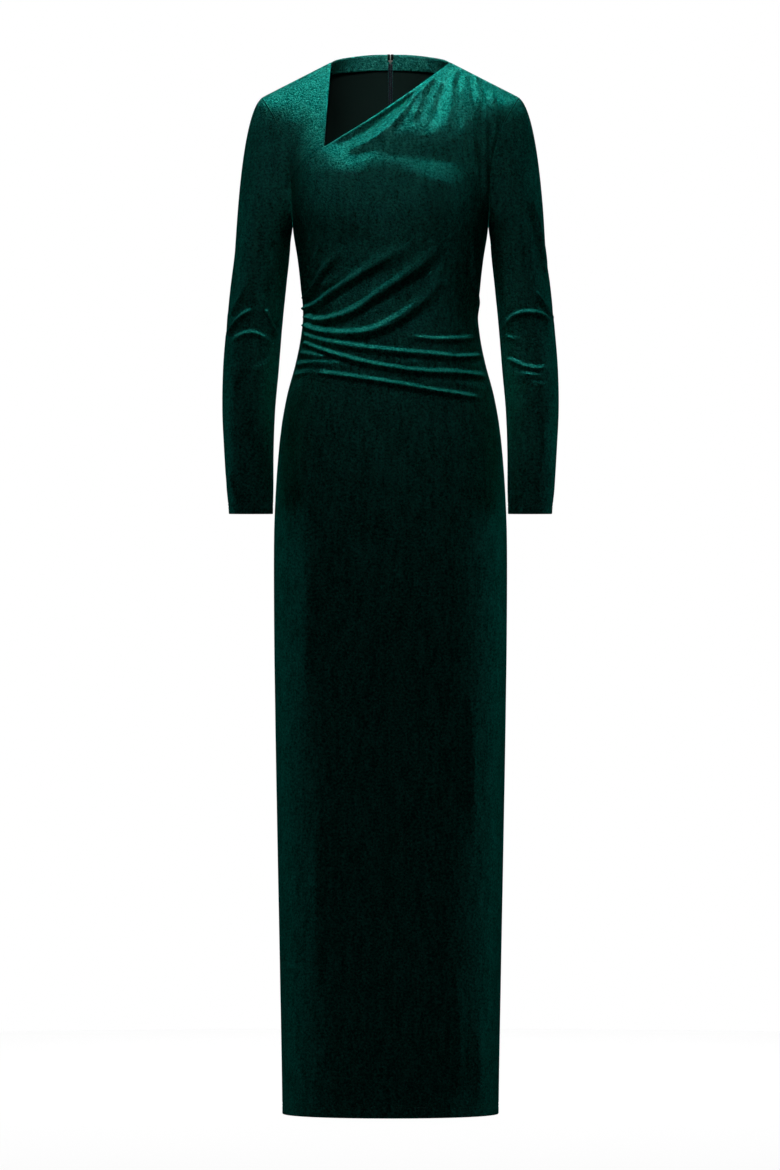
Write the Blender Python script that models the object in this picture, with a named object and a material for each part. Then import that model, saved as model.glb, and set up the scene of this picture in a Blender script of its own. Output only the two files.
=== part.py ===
"""Floor-length velvet gown with long sleeves, hollow, in the form it has when it is worn.

Metres, +Z up. +X is the wearer's left, +Y is the wearer's back. The origin lies midway between
the neck points, the inner ends of the shoulder seams, and 3 mm below them, at the height of the
shoulders that the gown hangs from.
"""
import math

import bmesh
import bpy
import numpy as np

MM = 0.001

# Cloth and seams
WALL = 1.6 * MM
FACING_WALL = 1.2 * MM
TAPE_WALL = 1.0 * MM
GAP = 0.3 * MM

# Levels down the gown
HEM_LEVEL = -1.5225
HIP_LEVEL = -0.52
UNDERARM_LEVEL = -0.238

# Torso and skirt sections: the front and back columns are places along Y
SECTIONS = (
    # level, half width, front, back, squareness
    (-1.5225, 0.1570, -0.108, 0.120, 2.15),
    (-1.3000, 0.1607, -0.107, 0.122, 2.20),
    (-1.1000, 0.1645, -0.106, 0.124, 2.25),
    (-0.9200, 0.1675, -0.106, 0.126, 2.30),
    (-0.8000, 0.1689, -0.107, 0.128, 2.30),
    (-0.6800, 0.1688, -0.107, 0.129, 2.25),
    (-0.6000, 0.1652, -0.106, 0.125, 2.20),
    (-0.5300, 0.1588, -0.106, 0.115, 2.15),
    (-0.4800, 0.1497, -0.105, 0.102, 2.10),
    (-0.4300, 0.1365, -0.103, 0.087, 2.05),
    (-0.3850, 0.1285, -0.101, 0.077, 2.00),
    (-0.3567, 0.1270, -0.101, 0.075, 2.00),
    (-0.3277, 0.1298, -0.103, 0.077, 2.00),
    (-0.2850, 0.1345, -0.108, 0.083, 2.00),
    (-0.2380, 0.1415, -0.112, 0.089, 2.00),
)
# The side seams run straight down in the side view, between these places along Y
SIDE_AT_UNDERARM = -0.006
SIDE_AT_HEM = 0.010

# Bust: two soft rises, bridged by the cloth between them
BUST_HEIGHT = 0.018
BUST_LEVEL = -0.205
BUST_APART = 0.085
BUST_SPREAD = 0.070
BUST_DROP = 0.062
BUST_LIMIT = 0.142

# Points x, y, z of the seams and edges on the wearer's left
NECK_POINT = (0.086, 0.0, 0.003)
ARMHOLE = (
    (0.1415, -0.006, -0.238),
    (0.1432, -0.040, -0.205),
    (0.1452, -0.048, -0.155),
    (0.1600, -0.036, -0.095),
    (0.1860, 0.004, -0.048),
    (0.1650, 0.048, -0.098),
    (0.1545, 0.062, -0.150),
    (0.1480, 0.046, -0.207),
)
TIP_KNOT = 4.0
YOKE_KNOT = 1.6
BACK_NECK = (
    (0.0, 0.066, 0.0180),
    (0.025, 0.062, 0.0175),
    (0.050, 0.050, 0.0145),
    (0.0755, 0.028, 0.0090),
    NECK_POINT,
)
CENTRE_BACK = (
    (0.0, 0.089, -0.238),
    (0.0, 0.094, -0.200),
    (0.0, 0.096, -0.150),
    (0.0, 0.093, -0.090),
    (0.0, 0.083, -0.035),
    (0.0, 0.066, 0.0180),
)
# Points of the edges on the wearer's right
YOKE_SEAM = (
    (-0.1400, -0.060, -0.1660),
    (-0.1270, -0.077, -0.1483),
    (-0.1103, -0.086, -0.1334),
    (-0.0956, -0.089, -0.1240),
)
YOKE_NECK_EDGE = (
    (-0.0956, -0.089, -0.1240),
    (-0.0935, -0.075, -0.0900),
    (-0.0905, -0.053, -0.0530),
    (-0.0880, -0.026, -0.0200),
    (-0.0860, 0.000, 0.0030),
)
SLANTED_NECK_EDGE = (
    (-0.0956, -0.089, -0.1240),
    (-0.0500, -0.088, -0.0960),
    (-0.0100, -0.076, -0.0700),
    (0.0300, -0.055, -0.0410),
    (0.0640, -0.028, -0.0150),
    NECK_POINT,
)

# Sleeve sections: the centre's place, then half the width and half the depth
SLEEVE_SECTIONS = (
    # level, x, y, half width, half depth
    (-0.2620, 0.1851, 0.008, 0.0400, 0.0470),
    (-0.3277, 0.1921, 0.009, 0.0406, 0.0450),
    (-0.3857, 0.1979, 0.007, 0.0407, 0.0445),
    (-0.4437, 0.2023, -0.004, 0.0406, 0.0415),
    (-0.5017, 0.2052, -0.016, 0.0385, 0.0375),
    (-0.5597, 0.2048, -0.028, 0.0360, 0.0335),
    (-0.6177, 0.2030, -0.039, 0.0341, 0.0305),
    (-0.6532, 0.2015, -0.046, 0.0320, 0.0285),
)
# Ways in which the sleeve leaves the armhole, at the shoulder tip and under the arm
CAP_START = (0.80, 0.0, -0.60)
CAP_UNDER = (0.10, 0.0, -1.00)
# How far the sleeve head keeps to its first and last ways, as shares of its length
CAP_START_PULL = 0.45
CAP_END_PULL = 0.90

# Largest folds of the front: each ridge's start, middle and end in the front view, its height and spread
FOLDS = (
    # start x and z, middle x and z, end x and z, height, spread
    (-0.124, -0.353, -0.060, -0.325, 0.033, -0.260, 0.0040, 0.009),
    (-0.123, -0.366, -0.042, -0.372, 0.074, -0.266, 0.0050, 0.010),
    (-0.123, -0.379, -0.030, -0.390, 0.077, -0.307, 0.0050, 0.010),
    (-0.125, -0.391, -0.036, -0.413, 0.130, -0.422, 0.0045, 0.009),
    (-0.126, -0.404, -0.010, -0.437, 0.136, -0.452, 0.0045, 0.009),
    (-0.108, -0.446, 0.012, -0.465, 0.130, -0.486, 0.0040, 0.009),
    (0.088, -0.040, 0.087, -0.085, 0.081, -0.110, 0.0035, 0.008),
    (0.103, -0.050, 0.114, -0.100, 0.118, -0.140, 0.0035, 0.008),
    (0.048, -0.045, 0.000, -0.086, -0.060, -0.122, 0.0035, 0.008),
)
FOLD_STEPS = 12
FOLD_END_HEIGHT = 0.4
FOLD_EDGE_SHARE = 0.25

# Grid of each panel
FRONT_COLUMNS = 20
FRONT_SKIRT_ROWS = 9
FRONT_WAIST_ROWS = 23
BACK_COLUMNS = 8
BACK_SKIRT_ROWS = 8
BACK_WAIST_ROWS = 9
BACK_TOP_ROWS = 8
NECK_COLUMNS = 4
YOKE_SIDE_ROWS = 3
YOKE_SEAM_ROWS = 4
SLANT_ROWS = 7
YOKE_ROWS = 7
CAP_ROWS = 5
ARM_ROWS = 11

# Share of the underarm line's own curve that is left in a panel, at even steps from there to its top
FRONT_CURVE = (1.0, 0.84, 0.72, 0.58, 0.44, 0.31, 0.22, 0.15, 0.09, 0.04, 0.0)
BACK_CURVE = (1.0, 0.42, 0.22, 0.15, 0.08, 0.0)
YOKE_CURVE = (1.0, 0.64, 0.36, 0.16, 0.04, 0.0)
TOP_FADE = 2.5

# Back-neck facing and zip
FACING_SHARE = 0.10
ZIP_NOTCH = 3.0 * MM
TAPE_WIDTH = 3.1 * MM
FACING_END_STEP = 0.02
TAPE_TOP = 0.004
TAPE_END = -0.56
FACING_START = 3.5 * MM

# Zip slider and pull, across, out of the cloth and along the zip
SLIDER_SIZE = (6.0 * MM, 2.8 * MM, 9.0 * MM)
SLIDER_NECK = (1.9 * MM, 3.2 * MM)
PIVOT_HEIGHT = 2.0 * MM
PIVOT_LEVEL = 0.0125
PIN_RADIUS = 0.5 * MM
PIN_LENGTH = 6.2 * MM
PIN_HEAD = (1.0 * MM, 0.5 * MM)
LUG_RADIUS = 1.5 * MM
LUG_INNER = 1.25 * MM
LUG_OUTER = 2.30 * MM
EYE_RADIUS = 0.8 * MM
PULL_LENGTH = 20.0 * MM
PULL_WIDTH = 5.2 * MM
PULL_WALL = 1.1 * MM
PULL_REST = 0.35 * MM
FORK_DEPTH = 2.8 * MM
ROUND_SIDES = 12

# Ways out of the cloth, and mesh settings
YOKE_SEAM_TURN = 2.0
YOKE_SEAM_LIFT = 0.35
SLOPE_STEP = 0.004
LINE_SAMPLES = 80
SHARP_ANGLE = math.radians(40)

# Colours: linear red, green, blue, then roughness and metallic
VELVET_FINISH = ((0.004, 0.052, 0.042), 0.85, 0.0)
TAPE_FINISH = ((0.006, 0.016, 0.022), 0.75, 0.0)
METAL_FINISH = ((0.42, 0.36, 0.34), 0.35, 1.0)


def unit(vectors):
    """Scale each vector to length one."""
    return vectors / np.linalg.norm(vectors, axis=-1, keepdims=True)


def smooth_read(rows, place, closed=False):
    """Read a table at a place counted in rows, on a smooth curve through the rows."""
    rows = np.array(rows, dtype=float)
    count = len(rows)
    first = int(math.floor(place))
    if not closed:
        first = min(max(first, 0), count - 2)
    part = place - first

    def row(index):
        return rows[index % count] if closed else rows[min(max(index, 0), count - 1)]

    before, start, end, after = (row(first + step) for step in (-1, 0, 1, 2))
    leave = (end - before) / 2
    arrive = (after - start) / 2
    rise = part * part * (3 - 2 * part)
    return (start * (1 - rise) + end * rise + leave * part * (1 - part) ** 2
            - arrive * part ** 2 * (1 - part))


def read_level(sections, level):
    """Read a table of sections, sorted by level, at one level."""
    levels = [row[0] for row in sections]
    if levels[0] > levels[-1]:
        levels = [-value for value in levels]
        level = -level
    place = float(np.interp(level, levels, range(len(levels))))
    return smooth_read(sections, place)[1:]


def along(rows, count):
    """Points at even steps along a smooth curve through the rows, both ends included."""
    dense = np.array([smooth_read(rows, place) for place in np.linspace(0, len(rows) - 1, LINE_SAMPLES)])
    run = np.concatenate(([0], np.cumsum(np.linalg.norm(np.diff(dense, axis=0), axis=1))))
    return np.array([[np.interp(share * run[-1], run, dense[:, axis]) for axis in range(3)]
                     for share in np.linspace(0, 1, count + 1)])


def armhole(knots, side):
    """Points of one armhole. Knots run from the underarm up the front to the tip and down the back."""
    points = np.array([smooth_read(ARMHOLE, knot, closed=True) for knot in knots])
    return points * (side, 1, 1)


def armhole_out(points):
    """The way out of the cloth along an armhole: away from the hole's middle."""
    middle = np.array(ARMHOLE).mean(axis=0)
    ways = points - middle
    ways[:, 0] = 0
    return unit(ways)


def bust(points):
    """Rise of the front over the bust, fading to nothing at the side seams and armholes."""
    across = np.abs(points[..., 0])
    lobe = np.exp(-((across - BUST_APART) / BUST_SPREAD) ** 2
                  - ((points[..., 2] - BUST_LEVEL) / BUST_DROP) ** 2)
    return BUST_HEIGHT * lobe * (1 - np.minimum(across / BUST_LIMIT, 1) ** 6)


def raise_bust(points):
    """Move front points forward over the bust."""
    raised = np.array(points, dtype=float)
    raised[..., 1] -= bust(raised)
    return raised


def ring(level, angles):
    """Points of the torso at one level. Angle 0 is the wearer's left, pi/2 the back."""
    half, front, back, square = read_level(SECTIONS, level)
    side = np.interp(level, (HEM_LEVEL, UNDERARM_LEVEL), (SIDE_AT_HEM, SIDE_AT_UNDERARM))
    cosine, sine = np.cos(angles), np.sin(angles)
    reach = (np.abs(cosine) ** square + np.abs(sine) ** square) ** (-1 / square)
    depth = np.where(sine < 0, side - front, back - side)
    return np.stack((half * cosine * reach, side + depth * sine * reach, np.full_like(angles, level)), -1)


def patch(bottom, top, left, right, curve):
    """Blend four seam lines into one curved panel, rows upwards and columns from left to right."""
    across = np.linspace(0, 1, len(bottom))[None, :, None]
    rise = np.linspace(0, 1, len(left))
    low_share = np.array([smooth_read(curve, share * (len(curve) - 1)) for share in rise])[:, None, None]
    high_share = rise[:, None, None] ** TOP_FADE
    chords = (1 - across) * left[:, None] + across * right[:, None]
    return chords + low_share * (bottom - chords[0]) + high_share * (top - chords[-1])


def normals(points, around=False):
    """Outward direction at each point of a panel, or of a tube whose columns close around."""
    if around:
        across = np.roll(points, -1, axis=1) - np.roll(points, 1, axis=1)
    else:
        across = np.gradient(points, axis=1)
    return unit(np.cross(across, np.gradient(points, axis=0)))


def fold_height(points):
    """Height of the largest folds at points of the front."""
    total = np.zeros(points.shape[:-1])
    steps = np.linspace(0, 1, FOLD_STEPS)[:, None]
    for *places, height, spread in FOLDS:
        start, middle, end = np.array(places).reshape(3, 2)
        bend = 2 * middle - (start + end) / 2
        line = (1 - steps) ** 2 * start + 2 * steps * (1 - steps) * bend + steps ** 2 * end
        away = np.linalg.norm(points[..., None, (0, 2)] - line, axis=-1)
        nearest = away.argmin(axis=-1)
        ends = np.minimum(nearest, FOLD_STEPS - 1 - nearest) / (FOLD_STEPS / 2)
        full = FOLD_END_HEIGHT + (1 - FOLD_END_HEIGHT) * ends
        total += height * full * np.exp(-(away.min(axis=-1) / spread) ** 2)
    return total


def pull_back(line, ways, towards, distance=GAP / 2):
    """Move a sewn edge back into its own panel, so that the pieces keep a gap at the seam."""
    moves = unit(np.cross(np.gradient(line, axis=0), ways))
    signs = np.sign((moves * towards).sum(axis=-1, keepdims=True))
    return line + moves * signs * distance


def finish(name, colour, roughness, metallic):
    """A plain material."""
    material = bpy.data.materials.new(name)
    material.use_nodes = True
    shader = material.node_tree.nodes["Principled BSDF"]
    shader.inputs["Base Color"].default_value = (*colour, 1)
    shader.inputs["Roughness"].default_value = roughness
    shader.inputs["Metallic"].default_value = metallic
    return material


def add_object(name, bm, material):
    """Put a finished mesh into the scene. Its faces are turned outwards at a thousand times its size."""
    bmesh.ops.scale(bm, vec=(1 / MM,) * 3, verts=bm.verts)
    bmesh.ops.recalc_face_normals(bm, faces=bm.faces)
    bmesh.ops.scale(bm, vec=(MM,) * 3, verts=bm.verts)
    mesh = bpy.data.meshes.new(name)
    bm.to_mesh(mesh)
    bm.free()
    mesh.shade_smooth()
    mesh.set_sharp_from_angle(angle=SHARP_ANGLE)
    mesh.materials.append(material)
    thing = bpy.data.objects.new(name, mesh)
    bpy.context.scene.collection.objects.link(thing)
    return thing


def cloth(name, outer, ways, wall, material, around=False):
    """A wall of cloth: its outer face through the given points, its inner face moved in."""
    rows, columns = outer.shape[:2]
    inner = outer - wall * ways
    bm = bmesh.new()
    outside = [[bm.verts.new(point) for point in row] for row in outer]
    inside = [[bm.verts.new(point) for point in row] for row in inner]
    last = columns if around else columns - 1
    for row in range(rows - 1):
        for column in range(last):
            after = (column + 1) % columns
            low, high = outside[row], outside[row + 1]
            bm.faces.new((low[column], low[after], high[after], high[column]))
            low, high = inside[row], inside[row + 1]
            bm.faces.new((low[column], high[column], high[after], low[after]))
    for row in (0, rows - 1):
        for column in range(last):
            after = (column + 1) % columns
            bm.faces.new((outside[row][column], outside[row][after],
                          inside[row][after], inside[row][column]))
    for column in () if around else (0, columns - 1):
        for row in range(rows - 1):
            bm.faces.new((outside[row][column], outside[row + 1][column],
                          inside[row + 1][column], inside[row][column]))
    bmesh.ops.triangulate(bm, faces=bm.faces, quad_method="FIXED")
    return add_object(name, bm, material)


def side_out(levels, side):
    """The way out of the cloth along a side seam."""
    rises = [read_level(SECTIONS, level + SLOPE_STEP)[0] - read_level(SECTIONS, level - SLOPE_STEP)[0]
             for level in levels]
    return unit(np.array([(side, 0, -rise / (2 * SLOPE_STEP)) for rise in rises]))


def shoulder_out(side):
    """The way out of the cloth along a shoulder seam: square to the seam, and up."""
    run = np.array(ARMHOLE[int(TIP_KNOT)]) - NECK_POINT
    return unit(np.array((-run[2] * side, 0, run[0])))


def shoulder_seam(columns, side):
    """Points of a shoulder seam, from the neck point to the tip."""
    share = np.linspace(0, 1, columns + 1)[:, None]
    line = (1 - share) * np.array(NECK_POINT) + share * np.array(ARMHOLE[int(TIP_KNOT)])
    return line * (side, 1, 1)


def build_front(material):
    """The one-piece front: side seams, the right armhole's foot, the yoke seam, the slanted neck edge."""
    levels = np.concatenate((np.linspace(HEM_LEVEL, HIP_LEVEL, FRONT_SKIRT_ROWS + 1),
                             np.linspace(HIP_LEVEL, UNDERARM_LEVEL, FRONT_WAIST_ROWS + 1)[1:]))
    angles = np.linspace(math.pi, 2 * math.pi, FRONT_COLUMNS + 1)
    lower = np.array([ring(level, angles) for level in levels])
    foot = armhole(np.linspace(0, YOKE_KNOT, YOKE_SIDE_ROWS + 1), -1)
    seam = along((tuple(foot[-1]),) + YOKE_SEAM, YOKE_SEAM_ROWS)
    slant = along(SLANTED_NECK_EDGE, SLANT_ROWS)
    left = np.concatenate((foot, seam[1:], slant[1:]))
    right_knots = np.linspace(0, TIP_KNOT, YOKE_SIDE_ROWS + YOKE_SEAM_ROWS + SLANT_ROWS + 1)
    right = armhole(right_knots, 1)
    upper = patch(lower[-1], shoulder_seam(FRONT_COLUMNS, 1), left, right, FRONT_CURVE)
    points = raise_bust(np.concatenate((lower, upper[1:])))
    share = np.linspace(0, 1, FRONT_COLUMNS + 1)
    edge = np.minimum(1, np.minimum(share, 1 - share) / FOLD_EDGE_SHARE)[None, :, None]
    points = points + normals(points) * fold_height(points)[..., None] * edge

    ways = normals(points)
    under = len(levels) - 1
    yoke_start = under + YOKE_SIDE_ROWS
    yoke_end = yoke_start + YOKE_SEAM_ROWS
    seam_ways = yoke_seam_out(points[yoke_start:yoke_end + 1, 0])
    ways[:under, 0] = side_out(levels[:-1], -1)
    ways[:under, -1] = side_out(levels[:-1], 1)
    ways[yoke_start:yoke_end + 1, 0] = seam_ways
    ways[under:yoke_start + 1, 0] = armhole_out(points[under:yoke_start + 1, 0])
    ways[under:, -1] = armhole_out(points[under:, -1])
    ways[-1, :] = shoulder_out(1)
    shape = points.copy()
    for column in (0, -1):
        rows = slice(0, under + 1)
        points[rows, column] = pull_back(points[rows, column], ways[rows, column], (0, -1, 0))
    rows = slice(under, yoke_start + 1)
    points[rows, 0] = pull_back(points[rows, 0], ways[rows, 0], (1, 0, 0))
    rows = slice(yoke_start, yoke_end + 1)
    points[rows, 0] = pull_back(points[rows, 0], ways[rows, 0], (0, 0, -1))
    rows = slice(under, None)
    points[rows, -1] = pull_back(points[rows, -1], ways[rows, -1], (-1, 0, 0))
    points[-1] = pull_back(points[-1], ways[-1], (0, -1, 0))
    cloth("front", points, ways, WALL, material)
    return shape[yoke_start:yoke_end + 1, 0]


def yoke_seam_out(seam):
    """The way out of the cloth along the yoke seam, from the armhole to the neck."""
    ways = np.array([(YOKE_SEAM_TURN * x, -1.0, YOKE_SEAM_LIFT) for x in seam[:, 0]])
    ways[0] = armhole_out(seam[:1])[0]
    return unit(ways)


def build_yoke(seam, material):
    """The plain right shoulder panel above the slanted front."""
    top = shoulder_seam(YOKE_SEAM_ROWS, -1)[::-1]
    left = armhole(np.linspace(YOKE_KNOT, TIP_KNOT, YOKE_ROWS + 1), -1)
    right = raise_bust(along(YOKE_NECK_EDGE, YOKE_ROWS))
    points = patch(seam, top, left, right, YOKE_CURVE)
    ways = normals(points)
    ways[0] = yoke_seam_out(seam)
    ways[:, 0] = armhole_out(points[:, 0])
    ways[-1] = shoulder_out(-1)
    points[0] = pull_back(points[0], ways[0], (0, 0, 1))
    points[:, 0] = pull_back(points[:, 0], ways[:, 0], (1, 0, 0))
    points[-1] = pull_back(points[-1], ways[-1], (0, -1, 0))
    cloth("yoke_right", points, ways, WALL, material)


def back_top_shares():
    """Steps up the back above the underarm, with one row at the facing's lower edge."""
    main = np.linspace(0, 1 - FACING_SHARE, BACK_TOP_ROWS + 1)
    return np.concatenate((main, (1 - FACING_SHARE / 2, 1)))


def build_back(name, side, material):
    """One half of the back, from the centre-back seam to the side seam."""
    levels = np.concatenate((np.linspace(HEM_LEVEL, HIP_LEVEL, BACK_SKIRT_ROWS + 1),
                             np.linspace(HIP_LEVEL, UNDERARM_LEVEL, BACK_WAIST_ROWS + 1)[1:]))
    angles = np.linspace(math.pi / 2, 0, BACK_COLUMNS + 1)
    lower = np.array([ring(level, angles) for level in levels])
    shares = back_top_shares()
    left = np.array([smooth_read(CENTRE_BACK, share * (len(CENTRE_BACK) - 1)) for share in shares])
    right = armhole(2 * TIP_KNOT - shares * TIP_KNOT, 1)
    neck = along(BACK_NECK, NECK_COLUMNS)
    top = np.concatenate((neck, shoulder_seam(BACK_COLUMNS - NECK_COLUMNS, 1)[1:]))
    upper = patch(lower[-1], top, left, right, BACK_CURVE)
    points = np.concatenate((lower, upper[1:]))
    ways = -normals(points)
    under = len(levels) - 1
    ways[:, 0, 0] = 0
    ways[:, 0] = unit(ways[:, 0])
    ways[:under, -1] = side_out(levels[:-1], 1)
    ways[under:, -1] = armhole_out(points[under:, -1])
    ways[-1, NECK_COLUMNS:] = shoulder_out(1)
    shape = points.copy()
    points[:, 0] = pull_back(points[:, 0], ways[:, 0], (1, 0, 0))
    points[-2:, 0, 0] = ZIP_NOTCH / 2
    rows = slice(0, under + 1)
    points[rows, -1] = pull_back(points[rows, -1], ways[rows, -1], (0, 1, 0))
    rows = slice(under, None)
    points[rows, -1] = pull_back(points[rows, -1], ways[rows, -1], (-1, 0, 0))
    points[-1, NECK_COLUMNS:] = pull_back(points[-1, NECK_COLUMNS:], ways[-1, NECK_COLUMNS:], (0, 1, 0))
    cloth(name, points * (side, 1, 1), ways * (side, 1, 1), WALL, material)
    return shape, ways


def build_facing(name, side, shape, ways, material):
    """Back-neck facing: the back's own points below the neck, moved in."""
    rows = slice(len(shape) - 3, None)
    columns = slice(0, NECK_COLUMNS + 1)
    points = (shape - (WALL + GAP) * ways)[rows, columns]
    run = points[:, 1] - points[:, 0]
    points[:, 0] += run * FACING_START / np.linalg.norm(run, axis=-1, keepdims=True)
    points[:, -1] += (points[:, -2] - points[:, -1]) * FACING_END_STEP
    cloth(name, points * (side, 1, 1), ways[rows, columns] * (side, 1, 1), FACING_WALL, material)


def build_tape(name, side, shape, ways, material):
    """Zip tape: a narrow strip down the inside of the centre-back seam."""
    inside = (shape - (WALL + GAP) * ways)[:, :2]
    edge, beside = inside[:, 0], inside[:, 1]
    run = unit(beside - edge)
    strip = np.stack((edge + run * GAP / 2, edge + run * TAPE_WIDTH), axis=1)
    levels = [level for level in edge[:, 2] if TAPE_END < level < TAPE_TOP - GAP]
    levels = [TAPE_END] + levels + [TAPE_TOP]
    points = np.array([[[np.interp(level, edge[:, 2], strip[:, column, axis]) for axis in range(3)]
                        for column in range(2)] for level in levels])
    out = np.array([[[np.interp(level, edge[:, 2], ways[:, 0, axis]) for axis in range(3)]] * 2
                    for level in levels])
    cloth(name, points * (side, 1, 1), unit(out) * (side, 1, 1), TAPE_WALL, material)


def build_sleeve(name, side, front_knots, material):
    """A sleeve: its head follows the armhole, then sections lead down to the cuff."""
    back_knots = 2 * TIP_KNOT - back_top_shares() * TIP_KNOT
    knots = np.concatenate((front_knots, back_knots[::-1][1:-1]))
    start = armhole(knots, 1)
    angles = math.pi + knots / (2 * TIP_KNOT) * 2 * math.pi
    levels = np.linspace(SLEEVE_SECTIONS[0][0], SLEEVE_SECTIONS[-1][0], ARM_ROWS + 1)
    arm = []
    for level in levels:
        x, y, half_width, half_depth = read_level(SLEEVE_SECTIONS, level)
        arm.append(np.stack((x + half_width * np.cos(angles), y + half_depth * np.sin(angles),
                             np.full_like(angles, level)), -1))
    arm = np.array(arm)
    end = arm[0]
    length = np.linalg.norm(end - start, axis=-1, keepdims=True)
    under = ((1 + np.cos(angles - math.pi)) / 2)[:, None]
    leave = unit((1 - under) * np.array(CAP_START) + under * np.array(CAP_UNDER)) * length * CAP_START_PULL
    arrive = unit(arm[1] - arm[0]) * length * CAP_END_PULL
    cap = []
    for share in np.linspace(0, 1, CAP_ROWS + 1)[:-1]:
        rise = share * share * (3 - 2 * share)
        cap.append(start * (1 - rise) + end * rise + leave * share * (1 - share) ** 2
                   - arrive * share ** 2 * (1 - share))
    points = np.concatenate((np.array(cap), arm))
    ways = -normals(points, around=True)
    ways[0] = armhole_out(start)
    points[0] = pull_back(np.concatenate((start[-1:], start, start[:1])),
                          np.concatenate((ways[0][-1:], ways[0], ways[0][:1])), (1, 0, 0))[1:-1]
    cloth(name, points * (side, 1, 1), ways * (side, 1, 1), WALL, material, around=True)


def add_box(bm, size, middle):
    """A box in a mesh."""
    made = bmesh.ops.create_cube(bm, size=1.0)["verts"]
    bmesh.ops.scale(bm, vec=size, verts=made)
    bmesh.ops.translate(bm, vec=middle, verts=made)


def add_rod(bm, radius, length, middle):
    """A round rod along X in a mesh."""
    made = bmesh.ops.create_cone(bm, cap_ends=True, segments=ROUND_SIDES, radius1=radius, radius2=radius,
                                 depth=length)["verts"]
    turn = np.array(((0, 0, 1), (0, 1, 0), (-1, 0, 0)))
    for vertex in made:
        vertex.co = turn @ np.array(vertex.co) + np.array(middle)


def add_piece(name, make, material, parent):
    """A small hard piece, drawn about the pull's pivot."""
    bm = bmesh.new()
    make(bm)
    piece = add_object(name, bm, material)
    piece.parent = parent
    return piece


def join(body, tool, operation):
    """Join a helper solid to a piece, or cut it out."""
    tool.hide_render = True
    tool.display_type = "WIRE"
    step = body.modifiers.new(tool.name, "BOOLEAN")
    step.operation = operation
    step.solver = "EXACT"
    step.object = tool


def build_zip_head(shape, ways, material):
    """The slider in its notch and the pull that hangs from it behind the neck."""
    edge = shape[:, 0]
    seat = np.array([np.interp(PIVOT_LEVEL, edge[:, 2], edge[:, axis]) for axis in range(3)])
    slope = unit(edge[-1] - edge[-3])
    out = np.array((0, slope[2], -slope[1]))
    pivot = bpy.data.objects.new("pull_pivot", None)
    bpy.context.scene.collection.objects.link(pivot)
    pivot.location = seat + out * PIVOT_HEIGHT
    pivot.rotation_euler = (math.atan2(out[2], out[1]), 0, 0)
    pivot.empty_display_size = LUG_RADIUS

    across, deep, tall = SLIDER_SIZE
    neck_wide, neck_tall = SLIDER_NECK
    under = -PIVOT_HEIGHT - WALL - GAP

    def body(bm):
        add_box(bm, (across, deep, tall), (0, under - deep / 2, 0))
        bmesh.ops.bevel(bm, geom=bm.edges, offset=deep / 4, segments=1, profile=0.5, affect="EDGES",
                        material=-1)

    def neck(bm):
        reach = LUG_RADIUS / 2 - under + deep / 2
        add_box(bm, (neck_wide, reach, neck_tall), (0, LUG_RADIUS / 2 - reach / 2, 0))

    def pin(bm):
        add_rod(bm, PIN_RADIUS, PIN_LENGTH - PIN_HEAD[1], (0, 0, 0))

    slider = add_piece("zip_slider", body, material, pivot)
    join(slider, add_piece("slider_neck", neck, material, pivot), "UNION")
    join(slider, add_piece("slider_pin", pin, material, pivot), "UNION")
    for side in (-1, 1):
        middle = side * (PIN_LENGTH - PIN_HEAD[1]) / 2

        def head(bm, middle=middle):
            add_rod(bm, PIN_HEAD[0], PIN_HEAD[1], (middle, 0, 0))

        join(slider, add_piece(f"slider_pin_head_{side}", head, material, pivot), "UNION")

    def plate(bm):
        low = -PULL_LENGTH
        round_part = [(PULL_WIDTH / 2 * math.cos(turn), low + PULL_WIDTH / 2 * (1 + math.sin(turn)))
                      for turn in np.linspace(math.pi, 2 * math.pi, ROUND_SIDES // 2 + 1)]
        outline = ([(-LUG_INNER, 0), (-LUG_OUTER, 0), (-LUG_OUTER, -FORK_DEPTH)] + round_part
                   + [(LUG_OUTER, -FORK_DEPTH), (LUG_OUTER, 0), (LUG_INNER, 0),
                      (LUG_INNER, -FORK_DEPTH), (-LUG_INNER, -FORK_DEPTH)])
        near = PULL_REST - PIVOT_HEIGHT
        face = bm.faces.new([bm.verts.new((x, near, z)) for x, z in outline])
        moved = bmesh.ops.extrude_face_region(bm, geom=[face])["geom"]
        made = [item for item in moved if isinstance(item, bmesh.types.BMVert)]
        bmesh.ops.translate(bm, vec=(0, PULL_WALL, 0), verts=made)

    pull = add_piece("zip_pull", plate, material, pivot)
    wide = LUG_OUTER - LUG_INNER
    for side in (-1, 1):
        middle = side * (LUG_OUTER + LUG_INNER) / 2

        def lug(bm, middle=middle):
            add_rod(bm, LUG_RADIUS, wide, (middle, 0, 0))

        join(pull, add_piece(f"pull_lug_{side}", lug, material, pivot), "UNION")

    def eye(bm):
        add_rod(bm, EYE_RADIUS, 2 * PIN_LENGTH, (0, 0, 0))

    join(pull, add_piece("pull_eye", eye, material, pivot), "DIFFERENCE")


for old in list(bpy.data.objects):
    bpy.data.objects.remove(old, do_unlink=True)

velvet = finish("velvet", *VELVET_FINISH)
tape = finish("zip_tape", *TAPE_FINISH)
metal = finish("zip_metal", *METAL_FINISH)

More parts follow.
